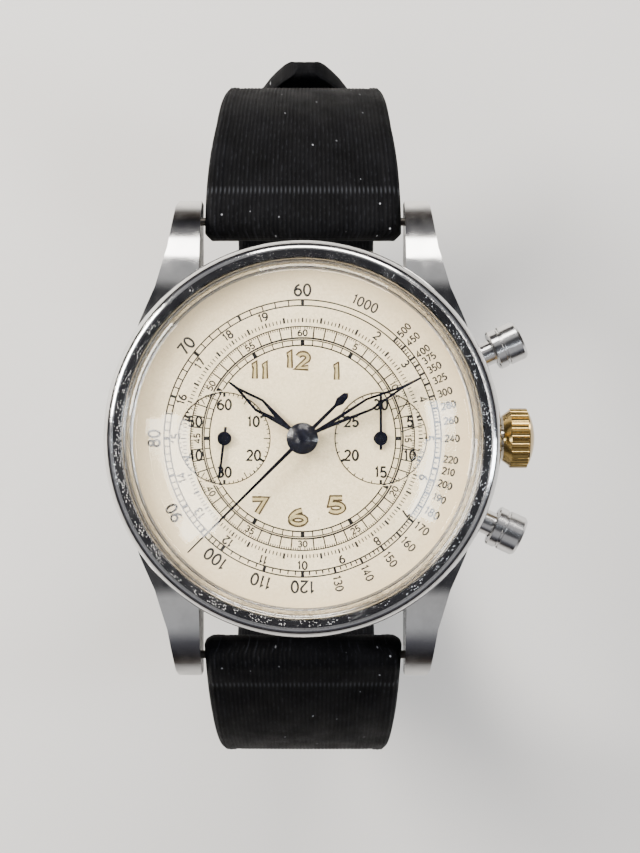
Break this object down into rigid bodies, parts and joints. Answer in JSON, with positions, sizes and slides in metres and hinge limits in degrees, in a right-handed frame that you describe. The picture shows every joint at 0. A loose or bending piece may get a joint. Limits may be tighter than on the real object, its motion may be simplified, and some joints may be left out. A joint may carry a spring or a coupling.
{
  "type": "chronograph wristwatch",
  "caption": "Wristwatch with a stopwatch movement, domed crystal, twin subdials, crown, round pushers and a closed black ribbed fabric strap with a pin buckle.",
  "frame": {"origin": "centre of the case back's flat outer face", "axes": "+Z out through the dial, +Y towards 12 o'clock, +X towards the crown"},
  "size_m": [0.0415, 0.0752, 0.0588],
  "materials": {
    "case_steel": "polished, a little pitted",
    "crystal": "domed acrylic",
    "steel": "satin",
    "gold_plate": "polished gilt",
    "cream_dial": "aged matt",
    "blued_steel": "gloss blue-black",
    "gilt_brass": "matt gilt",
    "ruby": "polished",
    "strap_fabric": "black ribbed fabric, folded edges"
  },
  "bodies": {
    "case": {"case_middle": "case_steel", "bezel": "case_steel", "crystal": "crystal", "case_back": "steel", "case_tubes": "steel", "movement_ring": "steel", "spring_bars": "steel", "dial": "cream_dial", "main_plate": "gilt_brass", "barrel_bridge": "gilt_brass", "train_bridge": "gilt_brass", "balance_cock": "gilt_brass", "pallet_bridge": "gilt_brass", "bridge_screws": "blued_steel", "jewels": "ruby", "hairspring": "steel", "clutch_lever": "steel", "chronograph_bridge": "gilt_brass", "start_pusher_spring": "steel", "reset_pusher_spring": "steel"},
    "winding_pinion": {"winding_pinion": "steel"},
    "crown_and_stem": {"crown": "gold_plate", "winding_stem": "steel"},
    "sliding_pinion": {"sliding_pinion": "steel"},
    "setting_lever": {"setting_lever": "steel"},
    "crown_wheel": {"crown_wheel": "steel"},
    "winding_wheel": {"winding_wheel": "steel"},
    "ratchet": {"ratchet_wheel": "steel", "barrel_arbor": "steel"},
    "click": {"click": "steel"},
    "start_pusher": {"start_pusher": "steel"},
    "operating_lever": {"operating_lever": "steel"},
    "column_wheel": {"column_wheel": "steel"},
    "reset_pusher": {"reset_pusher": "steel"},
    "hammer": {"hammer": "steel"},
    "fourth": {"fourth_wheel": "gilt_brass", "running_seconds_hand": "blued_steel"},
    "third": {"third_wheel": "gilt_brass"},
    "centre": {"centre_wheel": "gilt_brass", "cannon_pinion": "gilt_brass", "minute_hand": "blued_steel"},
    "minute_wheel": {"minute_wheel": "gilt_brass"},
    "hour": {"hour_wheel": "gilt_brass", "hour_hand": "blued_steel"},
    "barrel": {"barrel_drum": "gilt_brass", "mainspring": "steel"},
    "escape": {"escape_wheel": "steel"},
    "clutch": {"clutch_wheel": "gilt_brass"},
    "balance": {"balance_wheel": "gilt_brass"},
    "pallet": {"pallet_fork": "steel"},
    "runner": {"chronograph_runner": "gilt_brass", "chronograph_hand": "blued_steel"},
    "minute_recorder": {"minute_recorder_wheel": "gilt_brass", "minute_recorder_hand": "blued_steel"},
    "strap_buckle": {"strap_buckle_half": "strap_fabric", "fixed_keeper": "strap_fabric"},
    "strap_tail": {"strap_tail_half": "strap_fabric"},
    "buckle_frame": {"buckle_frame": "steel"},
    "buckle_tongue": {"buckle_tongue": "steel"},
    "free_keeper": {"free_keeper": "strap_fabric"}
  },
  "joints": [
    {"name": "crown_turn", "type": "hinge", "parent": "case", "child": "winding_pinion", "pos_m": [0.0125, 0, 0.0059], "axis": [1, 0, 0], "continuous": true},
    {"name": "crown_pull", "type": "slide", "parent": "winding_pinion", "child": "crown_and_stem", "axis": [1, 0, 0], "range_m": [0, 0.0012]},
    {"name": "sliding_pinion_slide", "type": "slide", "parent": "winding_pinion", "child": "sliding_pinion", "axis": [1, 0, 0], "range_m": [-0.0006, 0]},
    {"name": "setting_lever_swing", "type": "hinge", "parent": "case", "child": "setting_lever", "pos_m": [0.0135, 0.003, 0.0077], "axis": [0, 0, 1], "range_deg": [0, 24]},
    {"name": "crown_wheel_turn", "type": "hinge", "parent": "case", "child": "crown_wheel", "pos_m": [0.01075, 0, 0.004], "axis": [0, 0, 1], "continuous": true},
    {"name": "winding_wheel_turn", "type": "hinge", "parent": "case", "child": "winding_wheel", "pos_m": [0.00862, 0.00266, 0.0035], "axis": [0, 0, 1], "continuous": true},
    {"name": "ratchet_turn", "type": "hinge", "parent": "case", "child": "ratchet", "pos_m": [0.0036, 0.00624, 0.0035], "axis": [0, 0, 1], "continuous": true},
    {"name": "click_swing", "type": "hinge", "parent": "case", "child": "click", "pos_m": [0.00178, 0.01184, 0.0029], "axis": [0, 0, 1], "range_deg": [0, 8], "stiffness_Nm_per_rad": 0.00001},
    {"name": "start_push", "type": "slide", "parent": "case", "child": "start_pusher", "axis": [-0.9092, -0.4163, 0], "range_m": [0, 0.0009], "stiffness_N_per_m": 200, "springref_m": -0.0005, "deforming": ["start_pusher_spring"]},
    {"name": "operating_lever_swing", "type": "hinge", "parent": "case", "child": "operating_lever", "pos_m": [0.01296, 0.00198, 0.0024], "axis": [0, 0, 1], "range_deg": [0, 15]},
    {"name": "reset_push", "type": "slide", "parent": "case", "child": "reset_pusher", "axis": [-0.9092, 0.4163, 0], "range_m": [0, 0.0009], "stiffness_N_per_m": 200, "springref_m": -0.0005, "deforming": ["reset_pusher_spring"]},
    {"name": "hammer_swing", "type": "hinge", "parent": "case", "child": "hammer", "pos_m": [0.0129, -0.0021, 0.0022], "axis": [0, 0, 1], "range_deg": [-16, 0]},
    {"name": "column_wheel_turn", "type": "hinge", "parent": "case", "child": "column_wheel", "pos_m": [0.0086, 0.0079, 0.0023], "axis": [0, 0, 1], "continuous": true},
    {"name": "fourth_turn", "type": "hinge", "parent": "case", "child": "fourth", "pos_m": [-0.00745, 0, 0.004], "axis": [0, 0, 1], "continuous": true},
    {"name": "third_turn", "type": "hinge", "parent": "case", "child": "third", "pos_m": [-0.00437, 0.00317, 0.0044], "axis": [0, 0, 1], "continuous": true},
    {"name": "centre_turn", "type": "hinge", "parent": "case", "child": "centre", "pos_m": [0, 0, 0.005], "axis": [0, 0, 1], "continuous": true},
    {"name": "minute_wheel_turn", "type": "hinge", "parent": "case", "child": "minute_wheel", "pos_m": [-0.00063, 0.00355, 0.0076], "axis": [0, 0, 1], "continuous": true},
    {"name": "hour_turn", "type": "hinge", "parent": "case", "child": "hour", "pos_m": [0, 0, 0.008], "axis": [0, 0, 1], "continuous": true},
    {"name": "barrel_turn", "type": "hinge", "parent": "case", "child": "barrel", "pos_m": [0.0036, 0.00624, 0.0055], "axis": [0, 0, 1], "continuous": true},
    {"name": "escape_turn", "type": "hinge", "parent": "case", "child": "escape", "pos_m": [-0.00635, -0.00409, 0.0054], "axis": [0, 0, 1], "continuous": true},
    {"name": "clutch_turn", "type": "hinge", "parent": "case", "child": "clutch", "pos_m": [-0.00388, -0.00131, 0.0023], "axis": [0, 0, 1], "continuous": true},
    {"name": "balance_turn", "type": "hinge", "parent": "case", "child": "balance", "pos_m": [-0.00261, -0.0096, 0.0042], "axis": [0, 0, 1], "range_deg": [-270, 270], "stiffness_Nm_per_rad": 0.000001},
    {"name": "pallet_swing", "type": "hinge", "parent": "case", "child": "pallet", "pos_m": [-0.00488, -0.00626, 0.0054], "axis": [0, 0, 1], "range_deg": [-5.4, 5.4]},
    {"name": "runner_turn", "type": "hinge", "parent": "case", "child": "runner", "pos_m": [0, 0, 0.0023], "axis": [0, 0, 1], "continuous": true},
    {"name": "minute_recorder_turn", "type": "hinge", "parent": "case", "child": "minute_recorder", "pos_m": [0.00745, 0, 0.0023], "axis": [0, 0, 1], "continuous": true},
    {"name": "strap_buckle_swing", "type": "hinge", "parent": "case", "child": "strap_buckle", "pos_m": [0, 0.0214, 0.0034], "axis": [1, 0, 0], "range_deg": [-1, 1]},
    {"name": "strap_tail_swing", "type": "hinge", "parent": "case", "child": "strap_tail", "pos_m": [0, -0.0214, 0.0034], "axis": [1, 0, 0], "range_deg": [-1, 1]},
    {"name": "buckle_frame_swing", "type": "hinge", "parent": "strap_buckle", "child": "buckle_frame", "pos_m": [0, 0.00726, -0.03776], "axis": [1, 0, 0], "range_deg": [-2, 0]},
    {"name": "buckle_tongue_swing", "type": "hinge", "parent": "strap_buckle", "child": "buckle_tongue", "pos_m": [0, 0.00726, -0.03776], "axis": [1, 0, 0], "range_deg": [0, 4]},
    {"name": "free_keeper_slide", "type": "hinge", "parent": "strap_buckle", "child": "free_keeper", "pos_m": [0, 0, 0.0034], "axis": [1, 0, 0], "range_deg": [-3, 3]}
  ],
  "couplings": [
    {"joint": "sliding_pinion_slide", "follows": "crown_pull", "ratio": -0.5},
    {"joint": "setting_lever_swing", "follows": "crown_pull", "rad_per_m": 333.33},
    {"joint": "crown_wheel_turn", "follows": "crown_turn", "ratio": 0.8},
    {"joint": "winding_wheel_turn", "follows": "crown_turn", "ratio": -0.75},
    {"joint": "ratchet_turn", "follows": "crown_turn", "ratio": 0.3},
    {"joint": "operating_lever_swing", "follows": "start_push", "rad_per_m": 277.78},
    {"joint": "hammer_swing", "follows": "reset_push", "rad_per_m": -294.12},
    {"joint": "third_turn", "follows": "fourth_turn", "ratio": -0.13333},
    {"joint": "centre_turn", "follows": "fourth_turn", "ratio": 0.016667},
    {"joint": "minute_wheel_turn", "follows": "fourth_turn", "ratio": -0.0055556},
    {"joint": "hour_turn", "follows": "fourth_turn", "ratio": 0.0013889},
    {"joint": "barrel_turn", "follows": "fourth_turn", "ratio": -0.002381},
    {"joint": "escape_turn", "follows": "fourth_turn", "ratio": -10},
    {"joint": "clutch_turn", "follows": "fourth_turn", "ratio": -2.1667},
    {"joint": "pallet_swing", "follows": "balance_turn", "ratio": -0.02},
    {"joint": "minute_recorder_turn", "follows": "runner_turn", "ratio": 0.033333},
    {"joint": "strap_tail_swing", "follows": "strap_buckle_swing", "ratio": -1}
  ]
}
